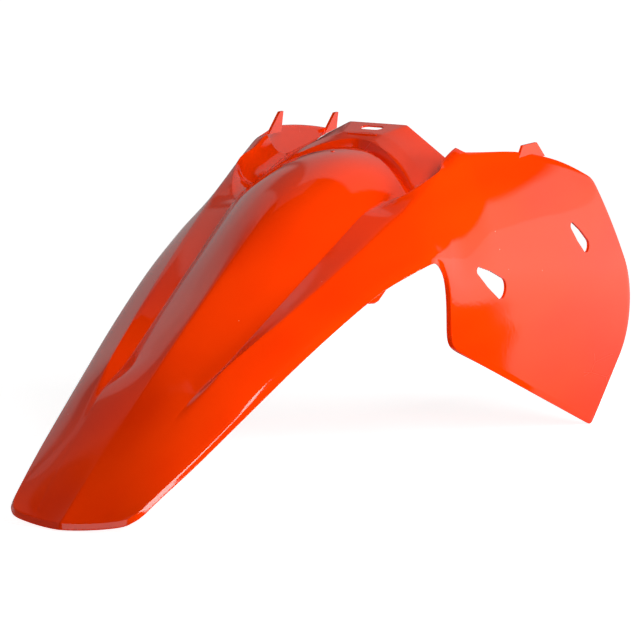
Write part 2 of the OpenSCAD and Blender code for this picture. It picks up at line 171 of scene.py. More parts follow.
# %% Lower edges
TAIL_HALF, EDGE_FLARE, EDGE_SLOPE, EDGE_Z0 = 69.0, 0.158, 26.8, 3.0
EDGE_LIFT, LIFT_LEN, EDGE_LEVEL, EDGE_FALL = 1.8, 60, 230.0, 0.00034
ARCH_Y, ARCH_DIP, SWELL_Y, PANEL_HALF = 463.0, 3.0, 390.0, 152.0


def edge_x(y):
    return TAIL_HALF + EDGE_FLARE * y


def to_arch(y):
    """0 where the right edge starts to swell, 1 at the top of the wheel arch."""
    return ease((y - SWELL_Y) / (ARCH_Y - SWELL_Y))


def edge_z(y):
    level_out = EDGE_FALL * max(0.0, y - EDGE_LEVEL) ** 2
    return EDGE_Z0 + EDGE_LIFT * ease(y / LIFT_LEN) + y * tan(EDGE_SLOPE) - level_out - ARCH_DIP * to_arch(y)


def swell(y):
    """How far the right edge swells out to meet the side panel."""
    return (PANEL_HALF - edge_x(ARCH_Y)) * to_arch(y)


print("right edge at the arch:", round(edge_x(ARCH_Y) + swell(ARCH_Y), 1), round(edge_z(ARCH_Y), 1))

# %% [markdown]
# ## Ridges and valleys
# Each side of the blade carries a ridge, which grows out of the plain crown near the
# tail and runs up to the shoulder, and a valley between the ridge and the dome. They
# stiffen the real blade. Lines for both, and a share that says how far they have grown
# out of the plain section, make them fade in without an end that shows.

# %% Ridges
SHOULDER_Y, SHOULDER_HALF, SHOULDER_Z = 591.0, 120.0, 306.0
RIDGE_SLOPE, RIDGE_START, RIDGE_ROOT, RIDGE_TAIL, SPEAR = 23.9, 160.0, 56.0, 0.6, 1.35


def spear_x(y):
    reach = max(0.0, (SHOULDER_Y - y) / (SHOULDER_Y - RIDGE_START))
    return SHOULDER_HALF - (SHOULDER_HALF - RIDGE_ROOT) * reach**SPEAR


def ridge_x(y):
    if y < RIDGE_START:
        return lerp(RIDGE_TAIL * TAIL_HALF, spear_x(RIDGE_START), y / RIDGE_START)
    return spear_x(min(y, SHOULDER_Y))


def ridge_line(y):
    return SHOULDER_Z - (SHOULDER_Y - min(y, SHOULDER_Y)) * tan(RIDGE_SLOPE)


print("ridge at the shoulder:", ridge_x(SHOULDER_Y), ridge_line(SHOULDER_Y))

# %% Valleys
DOME_HALF, DOME_BULGE, DOME_DROP = 88.0, 46.0, 38.0
VALLEY_HALF, VALLEY_FLARE, VALLEY_RISE, VALLEY_SLOPE = 34.0, 0.0893, 17.7, 27.25
DOME_FOOT_Y = DOME_Y - DOME_BULGE
FOOT_Z = crest_z(DOME_Y) - DOME_DROP


def past_arch(y):
    return unit01((y - ARCH_Y) / (DOME_FOOT_Y - ARCH_Y))


def valley_x(y):
    return lerp(VALLEY_HALF + VALLEY_FLARE * min(y, ARCH_Y), DOME_HALF, past_arch(y))


def valley_line(y):
    return lerp(VALLEY_RISE + min(y, ARCH_Y) * tan(VALLEY_SLOPE), FOOT_Z, past_arch(y))


print("valley at the dome's foot:", valley_x(DOME_FOOT_Y), round(FOOT_Z, 1))

# %% Plain section, and how far the ridges have grown out of it
CROWN, GROWS_BEFORE, GROWS_OVER = 2.2, 35, 90


def plain_z(x, y):
    """The plain crowned section, which the ridges and valleys grow out of."""
    e = edge_z(y)
    return e + (crest_z(y) - e) * (1 - min(1.0, x / edge_x(y)) ** CROWN)


def grown(y):
    return ease((y - RIDGE_START + GROWS_BEFORE) / GROWS_OVER)


def ridge_z(y):
    return lerp(plain_z(ridge_x(y), y), ridge_line(y), grown(y))


def valley_z(y):
    return lerp(plain_z(valley_x(y), y), valley_line(y), grown(y))


print("ridge against the plain section at 300 mm:", round(ridge_z(300) - plain_z(ridge_x(300), 300), 1))

# %% [markdown]
# ## Dome, groove and flange
# The dome covers the shock absorber's end. A groove runs round its front, and the
# flange ahead of it is clamped under the seat. The dome's edge is one curve in space,
# drawn by a share from the centre to the foot. The groove's rim and the flange are
# moved from it, so the three always fit each other. The groove could be cut afterwards
# by a swept tool, but then the wall under it would be thin.

# %% Dome's edge and the groove's rim
DOME_SWEEP, DOME_ROUND = 1.25, 2.1
GROOVE_GAP, GROOVE_DEPTH, GROOVE_LEAN, GROOVE_FADE = 13.0, 8.0, 4.0, 0.6
RIM_STEP, RIM_FADE, LEVEL_SHARE = 7.0, 0.4, 0.1


def dome_edge(s):
    fall = DOME_DROP * s**DOME_ROUND
    return point(s * DOME_HALF, DOME_Y - DOME_BULGE * s**DOME_SWEEP, crest_z(DOME_Y) - fall)


def soft(s):
    """Nearly s, but level at the centre line, so that the two halves meet without a kink."""
    return s * s / (s + LEVEL_SHARE)


def rim_edge(s):
    return dome_edge(s) + point(0, GROOVE_GAP, RIM_STEP * (1 - RIM_FADE * soft(s)))


print("groove's rim at the centre:", [round(v, 1) for v in rim_edge(0)])

# %% Flange
FLANGE_Y, FLANGE_FLAT, FLANGE_Z, FLANGE_HALF = 632.0, 33.0, 323.6, 97.0
FLANGE_SWEEP, FLANGE_FALL = 0.27, 0.55
FLAT_SHARE, BAND_SHARE, BAND_H, BAND_START = 0.2, 1 / 3, 3.0, 0.4


def flange_edge(s):
    if s < FLAT_SHARE:
        return point(FLANGE_FLAT * s / FLAT_SHARE, FLANGE_Y, FLANGE_Z)
    d = (FLANGE_HALF - FLANGE_FLAT) * (s - FLAT_SHARE) / (1 - FLAT_SHARE)
    return point(FLANGE_FLAT + d, FLANGE_Y - FLANGE_SWEEP * d, FLANGE_Z - FLANGE_FALL * d)


def flange_at(s, t):
    """The flange: share s out from the centre, share t ahead of its rear rim."""
    band = t / BAND_SHARE if t < BAND_SHARE else (1 - t) / (1 - BAND_SHARE)
    lift = BAND_H * band * (BAND_START + soft(s)) * (1 - s * s)
    return lerp(rim_edge(s), flange_edge(s), t) + point(0, 0, lift)


print("flange's outer corner:", [round(v, 1) for v in flange_edge(1)])

# %% [markdown]
# ## Sections of the blade and the dome
# Between the valleys the section is a crown that gets rounder towards the dome. The
# tail's corners are raked forward and its edge sags a little, as a blade that was
# drawn with a round end does. Rings round the dome would follow it more closely, but
# they would have to be stitched to the blade's rows.

# %% Blade and dome
TAIL_RAKE, RAKE_LEN, TAIL_SAG, SAG_LEN = 19.0, 120, 4.0, 80
BLADE_ROUND, ROUNDER_FROM, ROUNDER_OVER = 1.1, 280, 200


def rake(x, y):
    return TAIL_RAKE * (x / edge_x(y)) * (1 - ease(y / RAKE_LEN))


def sag(x, y):
    w = unit01(x / edge_x(y))
    return 4 * TAIL_SAG * w * (1 - w) * (1 - ease(y / SAG_LEN))


def blade_at(s, y):
    x = s * valley_x(y)
    yy = y + rake(x, y)
    v = valley_z(yy)
    roundness = lerp(BLADE_ROUND, DOME_ROUND, ease((y - ROUNDER_FROM) / ROUNDER_OVER))
    grown_z = v + (crest_z(yy) - v) * (1 - s**roundness)
    return point(x, yy, lerp(plain_z(x, yy), grown_z, grown(yy)) - sag(x, y))


def dome_at(s, t):
    e = dome_edge(s)
    y = lerp(ARCH_Y, e[1], t)
    v = lerp(valley_z(ARCH_Y), FOOT_Z, t)
    z = v + (crest_z(y) - v) * (1 - s**DOME_ROUND)
    return point(lerp(s * valley_x(ARCH_Y), e[0], t), y, lerp(z, e[2], t * t))


print("blade's crown over its valley at 300 mm:", round(blade_at(0, 300)[2] - blade_at(1, 300)[2], 1))

# %% [markdown]
# ## Rows and columns
# Every point of the skin gets a row along the fender and a column across it. Columns
# run from the centre line, 0, over the dome's foot, the pocket's wall, the shoulder's
# shelf and the ridge down to the lower fold and the lip. Rows close up at the tail and
# at the groove, where the form turns fast. With fixed numbers for these lines, a later
# cell can crease exactly the ones that are sharp on the real part.

# %% Rows and columns of the grid
BLADE_Y = [0.0, 3, 8, 17, 32] + [lerp(32, ARCH_Y, k / 17) for k in range(1, 18)]
DOME_ROWS, GROOVE_ROWS, FLANGE_ROWS, PANEL_ROWS = 6, 2, 6, 13
FRONT_ROWS = GROOVE_ROWS + 1 + FLANGE_ROWS
SHOULDER_END = SHOULDER_Y + 3
SIDE_Y = [lerp(ARCH_Y, DOME_FOOT_Y, k / DOME_ROWS) for k in range(1, DOME_ROWS + 1)]
SIDE_Y += [lerp(DOME_FOOT_Y, SHOULDER_END, k / FRONT_ROWS) for k in range(1, FRONT_ROWS + 1)]
C_FOOT, C_WALL, C_SHELF, C_RIDGE, C_FOLD, C_LIP = 10, 11, 12, 13, 21, 22
N_BLADE, N_SIDE = len(BLADE_Y), len(SIDE_Y)
ROWS = N_BLADE + N_SIDE + PANEL_ROWS
I_FRONT = N_BLADE + N_SIDE - 1
I_DOME_EDGE = N_BLADE + DOME_ROWS - 1
I_RIM = I_DOME_EDGE + GROOVE_ROWS + 1


def middle(i, c):
    s, k = c / C_FOOT, i - N_BLADE
    if k < 0:
        return blade_at(s, BLADE_Y[i])
    if k < DOME_ROWS:
        return dome_at(s, (k + 1) / DOME_ROWS)
    if k < DOME_ROWS + GROOVE_ROWS:
        along_y = 1 if k == DOME_ROWS else GROOVE_GAP - GROOVE_LEAN
        return dome_edge(s) + point(0, along_y, -GROOVE_DEPTH * (1 - GROOVE_FADE * s))
    return flange_at(s, (k - DOME_ROWS - GROOVE_ROWS) / FLANGE_ROWS)


def side_y(i):
    return BLADE_Y[i] if i < N_BLADE else SIDE_Y[i - N_BLADE]


print("grid:", ROWS, "rows,", 2 * C_LIP + 1, "columns")

# %% [markdown]
# ## Shoulders and pocket
# Past the arch the shoulder's top becomes a narrow bevel, and a pocket opens between it
# and the dome. The bevel's inner edge leaves the valley in a curve, so the pocket grows
# from nothing. A separate cut-out would leave a hard end there.

# %% Shoulders and pocket
BEVEL_W, BEVEL_RISE, RISE_LEN = 11.0, 4.0, 34
BEVEL_FROM, BEVEL_LEN = 72, 28
SHELF_Y = ARCH_Y + 9
# The ledge beside the pocket: its length, its gap to the valley, its last width, its curve
LEDGE_LEN, LEDGE_GAP, LEDGE_END, LEDGE_CURVE = 84, 2, 1.5, 1.5
POCKET_START = 20


def inner_x(y):
    """Inner edge of the bevel along the shoulder's top."""
    t = unit01((y - SHELF_Y) / LEDGE_LEN)
    w = lerp(ridge_x(y) - valley_x(y) - LEDGE_GAP, LEDGE_END, 1 - (1 - t) ** LEDGE_CURVE)
    return ridge_x(y) - max(w, BEVEL_W * ease((y - SHELF_Y - BEVEL_FROM) / BEVEL_LEN))


def inner_z(y):
    share = (ridge_x(y) - inner_x(y)) / (ridge_x(y) - valley_x(y))
    ledge = lerp(ridge_z(y), valley_z(y), unit01(share))
    return lerp(ledge, ridge_z(y) + BEVEL_RISE, ease((y - SHELF_Y) / RISE_LEN))


def shelf_at(i):
    y = side_y(i)
    x = inner_x(y)
    yy = y + rake(x, y)
    return point(x, yy, inner_z(yy) - sag(x, y))


def slope_at(i):
    a, b = middle(i, C_FOOT), shelf_at(i)
    deep = ease((side_y(i) - SHELF_Y) / POCKET_START)
    share = point(lerp(0.5, 0.72, deep), 0.5, lerp(0.5, 0.15, deep))
    return a + (b - a) * share


print("bevel's width at the shoulder:", round(ridge_x(SHOULDER_Y) - inner_x(SHOULDER_Y), 1))

# %% [markdown]
# ## Side panel and left rail
# The right side is one large, nearly flat wall, with the wheel arch's notch at its rear
# and a round nose. The left side ends in a short rail. Both hang from the ridge's line,
# and one function gives how far out they stand at any height, so the blade's flank
# turns into them without a seam. The panel's outline is a path of fillets and straight
# stretches that the rows of the grid end on.

# %% Top edges and how far out the sides stand
FLANK_CURVE, PANEL_CURVE, PANEL_TURN, BOW = 1.25, 2.4, 115.0, 3.0
RAIL_LEN, RAIL_RISE, RAIL_RISE_LEN, RAIL_SAG = 190.0, 9.0, 45, 0.0007
PANEL_TOE, TOP_FLARE = 814.0, 0.09
TOP_STEP, TOP_SLOPE, BROW_FROM, BROW_FALL, BROW_CURVE = 1.5, 0.075, 90, 0.0314, 1.34


def top_x(y, right):
    if y < SHOULDER_Y:
        return ridge_x(y)
    return SHOULDER_HALF + (TOP_FLARE * (y - SHOULDER_Y) if right else 0)


def top_z(y, right):
    if y < SHOULDER_Y:
        return ridge_z(y)
    d = y - SHOULDER_Y
    if right:
        brow = BROW_FALL * max(0.0, d - BROW_FROM) ** BROW_CURVE
        return SHOULDER_Z - TOP_STEP * ease(d / 10) - TOP_SLOPE * d - brow
    return SHOULDER_Z + RAIL_RISE * ease(d / RAIL_RISE_LEN) - RAIL_SAG * d * d


def skin_x(y, z, right):
    yy = min(y, PANEL_TOE + 20)
    turn = lerp(ridge_z(ARCH_Y) - edge_z(ARCH_Y), PANEL_TURN, ease((y - ARCH_Y) / 90))
    curve = lerp(FLANK_CURVE, PANEL_CURVE, ease((y - ARCH_Y) / 60))
    t = unit01((top_z(yy, right) - z) / turn)
    full = PANEL_HALF if right else lerp(edge_x(ARCH_Y), PANEL_HALF - 4, ease((y - ARCH_Y) / 100))
    nose_bow = BOW * unit01((y - PANEL_TOE + 54) / 150) ** 2 if right else 0
    return lerp(top_x(yy, right), full, 1 - (1 - t) ** curve) - nose_bow


print("panel's width half way down:", round(skin_x(700, 200, True), 1))

# %% Fillets and straight stretches


def fillet_centre(a, c, b, r):
    u, v = unit(a - c), unit(b - c)
    return c + unit(u + v) * r / math.sin(math.acos(u @ v) / 2)


def fillet(a, c, b, r, n):
    u, v = unit(a - c), unit(b - c)
    o = fillet_centre(a, c, b, r)
    reach = r / math.tan(math.acos(u @ v) / 2)
    return [o + unit(lerp(c + u * reach - o, c + v * reach - o, k / (n - 1))) * r for k in range(n)]


def along(a, b, n):
    return [lerp(a, b, k / n) for k in range(1, n + 1)]


print("a square corner of 10 mm starts at", fillet(point(50, 0), point(0, 0), point(0, 50), 10, 3)[0])

# %% Outline of the panel
PANEL_REAR, PANEL_REAR_Z, PANEL_NOSE, PANEL_NOSE_Z = 507.0, 120.0, 929.0, 108.0
PANEL_TOE_Z, PANEL_BROW, PANEL_BROW_Z, NOTCH_SQUARE = -2, 831, 253.5, 0.8
NOSE_ROUND, REAR_ROUND, TOE_ROUND, BROW_ROUND = 75.0, 19.0, 9.0, 30.0
ARCH_Z = edge_z(ARCH_Y)
ARCH_ROWS = 7
ARCH_FOOT_Z = PANEL_REAR_Z + 24
REAR_CORNER, TOE = point(PANEL_REAR, PANEL_REAR_Z), point(PANEL_TOE, PANEL_TOE_Z)
NOSE, TOP_CORNER = point(PANEL_NOSE, PANEL_NOSE_Z), point(PANEL_BROW, PANEL_BROW_Z)


def notch_point(k):
    a = math.radians(90 * k / ARCH_ROWS)
    return point(lerp(ARCH_Y, PANEL_REAR, math.sin(a) ** NOTCH_SQUARE),
                 lerp(ARCH_FOOT_Z, ARCH_Z, max(0.0, math.cos(a)) ** NOTCH_SQUARE))


NOTCH = [notch_point(k) for k in range(1, ARCH_ROWS + 1)]
REAR_FILLET = fillet(NOTCH[-1], REAR_CORNER, TOE, REAR_ROUND, 3)
TOE_FILLET = fillet(REAR_CORNER, TOE, NOSE, TOE_ROUND, 4)
NOSE_FILLET = fillet(TOE, NOSE, TOP_CORNER, NOSE_ROUND, 7)
BOTTOM_ROWS = N_SIDE + PANEL_ROWS - ARCH_ROWS - 3 - 3 - 5
LOWER_PATH = NOTCH + REAR_FILLET + along(REAR_FILLET[-1], TOE_FILLET[0], BOTTOM_ROWS)
LOWER_PATH += TOE_FILLET[1:] + along(TOE_FILLET[3], NOSE_FILLET[0], 5)
TOP_END_Y = TOP_CORNER[0] - 50
TOP_END = point(TOP_END_Y, top_z(TOP_END_Y, True))
CORNER_FILLET = fillet(TOP_END, TOP_CORNER, NOSE_FILLET[6], BROW_ROUND, 4)
UPPER_PATH = [point(y, top_z(y, True)) for y in
              (lerp(SHOULDER_END, CORNER_FILLET[0][0], k / 5) for k in range(1, 5))]
UPPER_PATH += [CORNER_FILLET[0]] + CORNER_FILLET[1:] + along(CORNER_FILLET[3], NOSE_FILLET[6], 5)
NOSE_CENTRE = fillet_centre(TOE, NOSE, TOP_CORNER, NOSE_ROUND)
print("panel's outline:", len(LOWER_PATH), "places below and", len(UPPER_PATH), "above")

# %% The skin without its lips
TAIL_ROUND, TAIL_CUT, RAIL_EDGE_SLOPE, LOWER_ROWS = 12.0, 0.3, 0.07, 1.1


def flank_at(i, w, right):
    y = BLADE_Y[i]
    e = edge_x(y) + (swell(y) if right else 0)
    cut = TAIL_CUT * TAIL_ROUND * max(0.0, 1 - y / TAIL_ROUND) * w**3
    x = lerp(ridge_x(y), e, 1 - (1 - w) ** FLANK_CURVE) - cut
    yy = y + rake(x, y) + cut
    z = lerp(plain_z(min(x, edge_x(yy)), yy), lerp(ridge_z(yy), edge_z(yy), w), grown(yy))
    return point(x, yy, z - sag(x, y))


def panel_at(k, w, right):
    far = k - N_SIDE
    rail_y = SHOULDER_END + (SHOULDER_Y + RAIL_LEN - SHOULDER_END) * (far + 1) / PANEL_ROWS
    low_y = lerp(ARCH_Y, SHOULDER_Y + RAIL_LEN, (k + 1) / (N_SIDE + PANEL_ROWS))
    if k < N_SIDE:
        top = point(SIDE_Y[k], top_z(SIDE_Y[k], right))
    else:
        top = UPPER_PATH[far] if right else point(rail_y, top_z(rail_y, False))
    low = LOWER_PATH[k] if right else point(low_y, ARCH_Z + RAIL_EDGE_SLOPE * (low_y - ARCH_Y))
    p = lerp(top, low, w)
    if right and k == N_SIDE + PANEL_ROWS - 1:
        arc = lerp(NOSE_FILLET[6] - NOSE_CENTRE, NOSE_FILLET[0] - NOSE_CENTRE, w)
        p = NOSE_CENTRE + unit(arc) * NOSE_ROUND
    return point(skin_x(p[0], p[1], right), p[0], p[1])


def skin(i, j):
    """Place of grid row i, column j, without the lips."""
    c, right = abs(j), j > 0
    if c >= C_RIDGE:
        w = (c - C_RIDGE) / (C_FOLD - C_RIDGE)
        p = flank_at(i, w, right) if i < N_BLADE else panel_at(i - N_BLADE, w**LOWER_ROWS, right)
    elif c <= C_FOOT:
        p = middle(i, c)
    else:
        p = slope_at(i) if c == C_WALL else shelf_at(i)
    return p * point(-1 if j < 0 else 1, 1, 1)


print("panel's rear corner:", [round(v, 1) for v in skin(N_BLADE + ARCH_ROWS, C_FOLD)])

# %% [markdown]
# ## Lips
# The blade's lower edges are folded down and flare out a little, the tail has a lip of
# its own, and round the wheel arch the fold turns inwards as a rim. A lip stiffens the
# edge and throws off mud. They could be extruded later, but as the grid's last row and
# column they take part in the rounding and get the small radius of a moulded fold.

# %% Lips
LIP, LIP_FLARE, ARCH_RIM = 5.8, 31.0, 7.5
FLARE = math.radians(LIP_FLARE)
LIP_DOWN = LIP * point(math.sin(FLARE), 0, -math.cos(FLARE))


def lip_at(i, right):
    k = i - N_BLADE
    t = ease((k + 3) / 5) if right else 0
    turn = math.radians(90 * unit01((k + 1) / ARCH_ROWS))
    fade = ease((k - ARCH_ROWS - 1) / 3) if right else ease((k + 1) / 8)
    turned = ARCH_RIM * point(-0.75 * math.sin(turn), 0, -math.cos(turn))
    return lerp(lerp(LIP_DOWN, turned, t), point(-1.5, 0, 0) if right else point(-1, 0, -1.5), fade)


TAIL_DROP = TAIL_LIP * point(0, -math.sin(math.radians(10)), -math.cos(math.radians(10)))


def outside(i, j):
    e = max(-C_FOLD, min(C_FOLD, j))
    p = skin(i, e)
    if abs(j) <= C_FOLD:
        return p
    side = point(-1 if j < 0 else 1, 1, 1)
    if i == 0:
        return p + (TAIL_DROP + side * LIP_DOWN) / 2
    return p + side * lip_at(i, j > 0)


def grid_place(i, j):
    """Row 0 is the tail lip; the skin's rows follow. The lips meet in one point at each tail corner."""
    if i > 0:
        return outside(i - 1, j)
    if abs(j) >= C_FOLD:
        return outside(0, C_LIP if j > 0 else -C_LIP)
    return outside(0, j) + TAIL_DROP


def on_fender(i, j):
    return i <= I_FRONT + 1 or abs(j) >= C_RIDGE


print("tail's lower right corner:", [round(v, 1) for v in grid_place(0, C_LIP)])

# %% [markdown]
# ## Which lines stay sharp
# On the moulding some lines are crisp, such as the fold along the lower edge, the ridge
# and the groove's rim, and others melt away. Subdivision rounds every line of the grid
# alike, so each line gets a crease that says how much of its edge stays. Extra rows
# close to an edge would hold it too, but they would have to be added all along it.

# %% How sharp each line of the grid stays
# 0 lets subdivision round a line fully and 1 keeps it a knife edge
SHARP_FOLD, SHARP_RIDGE, SHARP_TOP, SHARP_SHELF = 0.85, 0.8, 0.7, 0.9
SHARP_VALLEY, SHARP_FOOT, SHARP_FLAT, SHARP_CREST, SHARP_TAIL = 0.35, 0.9, 0.5, 0.4, 0.75
CREST_FROM, CREST_LEN = 200, 150
C_FLAT = round(FLAT_SHARE * C_FOOT)
I_BAND = I_RIM + round(BAND_SHARE * FLANGE_ROWS)
# The dome's edge, the groove's two lower edges, its rim and the flange's band
SHARP_ROWS = {I_DOME_EDGE: 0.8, I_DOME_EDGE + 1: 0.7, I_DOME_EDGE + 2: 0.7, I_RIM: 0.8, I_BAND: 0.75}


def crease_of(i0, j0, i1, j1):
    """How sharp the line through two neighbouring grid points is."""
    if j0 == j1:
        return crease_along(min(i0, i1) - 1, abs(j0))
    row, c = i0 - 1, max(abs(j0), abs(j1))
    if row == 0 and c <= C_FOLD:
        return SHARP_TAIL
    return SHARP_ROWS.get(row, 0.0) if c <= C_FOOT else 0.0


def crease_along(i, c):
    """How sharp column c is ahead of row i."""
    if c == C_FOLD:
        return SHARP_FOLD
    if c == C_RIDGE:
        return SHARP_RIDGE * grown(side_y(i)) if 0 <= i <= I_FRONT else SHARP_TOP
    if c == C_SHELF and 0 <= i <= I_FRONT:
        return SHARP_SHELF * ease((side_y(i) - SHELF_Y) / POCKET_START)
    if c == C_FOOT and 0 <= i <= I_FRONT:
        return lerp(SHARP_VALLEY * grown(side_y(i)), SHARP_FOOT, ease((i - N_BLADE + 3) / 3))
    if c == C_FLAT and i >= I_RIM:
        return SHARP_FLAT
    if c == 0 and 0 <= i < N_BLADE:
        return SHARP_CREST * (1 - ease((side_y(i) - CREST_FROM) / CREST_LEN))
    return 0.0


print("creases at the fold, the ridge and the tail:", SHARP_FOLD, SHARP_RIDGE, SHARP_TAIL)

# %% [markdown]
# ## Bending the grid
# A moulding with one even wall starts well as a flat grid: each row becomes a section
# of the fender and each column a line that runs along it. The grid is added as a
# primitive, its points are moved to their places on the curves, and the part ahead of
# the dome that isn't on the fender is deleted. Extruding a strip section by section
# would give the same mesh, but here a point's row and column are known from the start.

# %% Select, apply and delete
MERGE_WITHIN = 0.02


def select_only(piece):
    bpy.ops.object.select_all(action="DESELECT")
    piece.select_set(True)
    bpy.context.view_layer.objects.active = piece


def apply_modifiers(piece):
    select_only(piece)
    for name in [m.name for m in piece.modifiers]:
        bpy.ops.object.modifier_apply(modifier=name)


def delete_points(piece, doomed):
    """Take points away by their numbers, and merge those that lie on one another."""
    bpy.ops.object.mode_set(mode="EDIT")
    bpy.ops.mesh.select_all(action="DESELECT")
    bpy.ops.object.mode_set(mode="OBJECT")
    for index in doomed:
        piece.data.vertices[index].select = True
    bpy.ops.object.mode_set(mode="EDIT")
    bpy.ops.mesh.delete(type="VERT")
    bpy.ops.mesh.select_all(action="SELECT")
    bpy.ops.mesh.remove_doubles(threshold=MERGE_WITHIN * MM)
    bpy.ops.object.mode_set(mode="OBJECT")


print("points closer than", MERGE_WITHIN, "mm become one")

# %% Bend a grid into the skin
N_ROWS, N_COLS = ROWS + 1, 2 * C_LIP + 1


def make_skin():
    bpy.ops.mesh.primitive_grid_add(x_subdivisions=N_COLS - 1, y_subdivisions=N_ROWS - 1, size=2)
    piece = bpy.context.object
    piece.name = "fender_moulding"
    cells = {}
    doomed = []
    for v in piece.data.vertices:
        j = round((v.co.x + 1) / 2 * (N_COLS - 1)) - C_LIP
        i = round((v.co.y + 1) / 2 * (N_ROWS - 1))
        cells[v.index] = (i, j)
        if on_fender(i, j):
            v.co = (grid_place(i, j) + TAIL_TIP) * MM
        else:
            doomed.append(v.index)
    ridges = piece.data.attributes.new("crease_edge", "FLOAT", "EDGE")
    for e in piece.data.edges:
        (i0, j0), (i1, j1) = (cells[v] for v in e.vertices)
        ridges.data[e.index].value = crease_of(i0, j0, i1, j1)
    delete_points(piece, doomed)
    print("skin:", len(piece.data.vertices), "points,", len(piece.data.polygons), "faces")
    return piece


fender = make_skin()

# %% [markdown]
# ## Rounding and thickening
# Subdivision rounds the grid, and the creases hold its ridges and folds to small radii,
# as a mould does. Solidify then adds the wall on the inside, so that it is even
# everywhere, as plastic that cools in a mould needs it. A second, smaller skin would
# do that only roughly. A bevel gives the rims the small radius that catches the light.

# %% Round and thicken the skin
WALL, SUBDIVISIONS = 3.0, 2
EDGE_ROUND, EDGE_STEPS, EDGE_ANGLE = 0.5, 2, 60


def round_and_thicken(piece):
    smooth = piece.modifiers.new("Rounding", "SUBSURF")
    smooth.levels = smooth.render_levels = SUBDIVISIONS
    smooth.boundary_smooth = "PRESERVE_CORNERS"
    wall = piece.modifiers.new("Wall", "SOLIDIFY")
    wall.thickness = WALL * MM
    wall.offset = -1
    wall.use_even_offset = True
    wall.use_quality_normals = True
    wall.thickness_clamp = 1.0
    edges = piece.modifiers.new("Edges", "BEVEL")
    edges.limit_method = "ANGLE"
    edges.angle_limit = math.radians(EDGE_ANGLE)
    edges.width = EDGE_ROUND * MM
    edges.segments = EDGE_STEPS
    apply_modifiers(piece)
    print("thickened:", len(piece.data.polygons), "faces")


round_and_thicken(fender)

# %% [markdown]
# ## Openings
# The slot takes the bolt under the seat, and the two drop-shaped vents let air through
# the panel. The mould closes on itself there, so the openings have square walls. A
# cutter with the opening's outline, taken away from the wall, gives just that. Faces
# that are left out of the grid would follow its rows instead of the outline.

# %% A piece with an outline, and a cut
CUT_REACH = 30


def pull_cutter(name, outline, to_place, depth):
    """A piece with that outline, set in place and pulled along a direction."""
    bpy.ops.mesh.primitive_circle_add(vertices=len(outline), radius=1, fill_type="NGON")
    cutter = bpy.context.object
    cutter.name = name
    for v, p in zip(cutter.data.vertices, outline):
        v.co = Vector((to_place(p) + TAIL_TIP) * MM)
    bpy.ops.object.mode_set(mode="EDIT")
    bpy.ops.mesh.select_all(action="SELECT")
    bpy.ops.mesh.extrude_region_move(TRANSFORM_OT_translate={"value": Vector(depth) * MM})
    bpy.ops.mesh.select_all(action="SELECT")
    bpy.ops.mesh.normals_make_consistent(inside=False)
    bpy.ops.object.mode_set(mode="OBJECT")
    return cutter


def cut(piece, cutter):
    boolean = piece.modifiers.new("Opening", "BOOLEAN")
    boolean.operation = "DIFFERENCE"
    boolean.solver = "EXACT"
    boolean.object = cutter
    apply_modifiers(piece)
    bpy.data.objects.remove(cutter)


print("a cutter reaches", CUT_REACH, "mm to both sides of the wall")

# %% Cut the slot
SLOT_W, SLOT_LEN, SLOT_BACK, SLOT_STEPS = 25.0, 12.0, 14.0, 12
SLOT_Y = FLANGE_Y - SLOT_BACK


def slot_outline():
    r, reach = SLOT_LEN / 2, (SLOT_W - SLOT_LEN) / 2
    out = []
    for side in (1, -1):
        for k in range(SLOT_STEPS + 1):
            b = math.radians(-90 * side + 180 * k / SLOT_STEPS)
            out.append(point(side * reach + r * math.cos(b), r * math.sin(b)))
    return out


slot_low = FLANGE_Z - CUT_REACH
cut(fender, pull_cutter("slot_cutter", slot_outline(), lambda p: point(p[0], SLOT_Y + p[1], slot_low),
                        (0, 0, 2 * CUT_REACH)))
print("slot:", SLOT_W, "by", SLOT_LEN, "mm")

# %% Cut the vents
# Each vent: place and height of its round end, its length, its slope and its end's radius
VENTS = ((613.5, 166.5, 53, 27, 11), (802.5, 187, 37, 40, 7.3))
VENT_TIP_R, VENT_BELLY, VENT_STEPS = 4.0, 1.2, 72


def drop_outline(length, angle, r):
    """The outline round three circles: the round end, a middle one that bulges, and the tip."""
    a = math.radians(angle)
    tip = length * point(-math.cos(a), math.sin(a))
    circles = ((point(0, 0), r), (tip / 2, (r + VENT_TIP_R) / 2 + VENT_BELLY), (tip, VENT_TIP_R))
    out = []
    for k in range(VENT_STEPS):
        b = 2 * math.pi * k / VENT_STEPS
        facing = point(math.cos(b), math.sin(b))
        centre, radius = max(circles, key=lambda c: c[0] @ facing + c[1])
        out.append(centre + radius * facing)
    return out


def cut_vent(y, z, length, angle, r):
    inside = PANEL_HALF - CUT_REACH
    cutter = pull_cutter("vent_cutter", drop_outline(length, angle, r),
                         lambda p: point(inside, y + p[0], z + p[1]), (2 * CUT_REACH, 0, 0))
    cut(fender, cutter)


for vent in VENTS:
    cut_vent(*vent)
print("with openings:", len(fender.data.polygons), "faces")

# %% [markdown]
# ## Tabs
# Two hooked tabs on the left rail and a wide one on the panel's top edge slip into the
# seat and the tank shrouds. They are flat webs that stand on the wall, so each is an
# outline pulled to the wall's thickness, with its root sunk into the wall. Pulling
# them out of the wall's own edge would have to follow the grid's rows.

# %% Hooked tabs and the panel's tab
HOOKS_Y, TAB_Y, ROOTED = (625, 741), 717, 6
# Width at the root and at the tip, height, and how far the tip leans to the front
HOOK_FORM, TAB_FORM = (26, 7, 15, 14), (60, 30, 10, -3)
join_in = []


